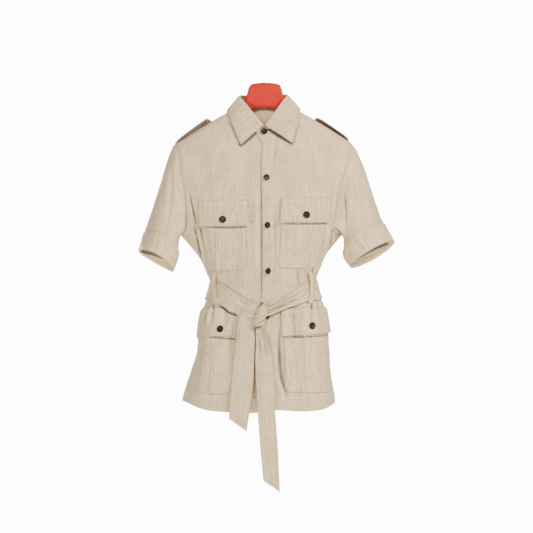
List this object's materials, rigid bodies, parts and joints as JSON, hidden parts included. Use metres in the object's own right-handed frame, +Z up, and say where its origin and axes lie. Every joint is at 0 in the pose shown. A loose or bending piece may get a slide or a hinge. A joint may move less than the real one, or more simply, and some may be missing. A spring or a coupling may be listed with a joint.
{
  "type": "safari jacket on a hanger",
  "caption": "Short-sleeved belted linen safari jacket with flap pockets, shoulder tabs and turn-up cuffs, buttoned and hanging on a broad-necked contoured hanger.",
  "frame": {"origin": "middle of the top of the hanger's neck, on the garment's middle line", "axes": "+Z up, -Y the jacket's front, +X the viewer's right, which is the wearer's left"},
  "size_m": [0.6173, 0.2314, 0.9807],
  "materials": {
    "linen": "beige slubbed linen, matte",
    "button_dark": "near-black four-hole button, satin",
    "hanger_red": "orange-red, satin"
  },
  "bodies": {
    "root": {"back": "linen", "belt_band": "linen", "belt_knot": "linen", "belt_loop_left": "linen", "belt_loop_right": "linen", "belt_tail_long": "linen", "belt_tail_short": "linen", "button_chest_left": "button_dark", "button_chest_right": "button_dark", "button_front_1": "button_dark", "button_front_2": "button_dark", "button_front_3": "button_dark", "button_front_4": "button_dark", "button_front_5": "button_dark", "button_front_6": "button_dark", "button_hip_left": "button_dark", "button_hip_right": "button_dark", "chest_flap_left": "linen", "chest_flap_right": "linen", "chest_pocket_left": "linen", "chest_pocket_right": "linen", "collar_fall": "linen", "collar_stand": "linen", "cuff_left": "linen", "cuff_right": "linen", "epaulette_left": "linen", "epaulette_right": "linen", "front_left": "linen", "front_right": "linen", "hanger": "hanger_red", "hip_flap_left": "linen", "hip_flap_right": "linen", "hip_pocket_left": "linen", "hip_pocket_right": "linen", "sleeve_left": "linen", "sleeve_right": "linen"}
  },
  "joints": []
}
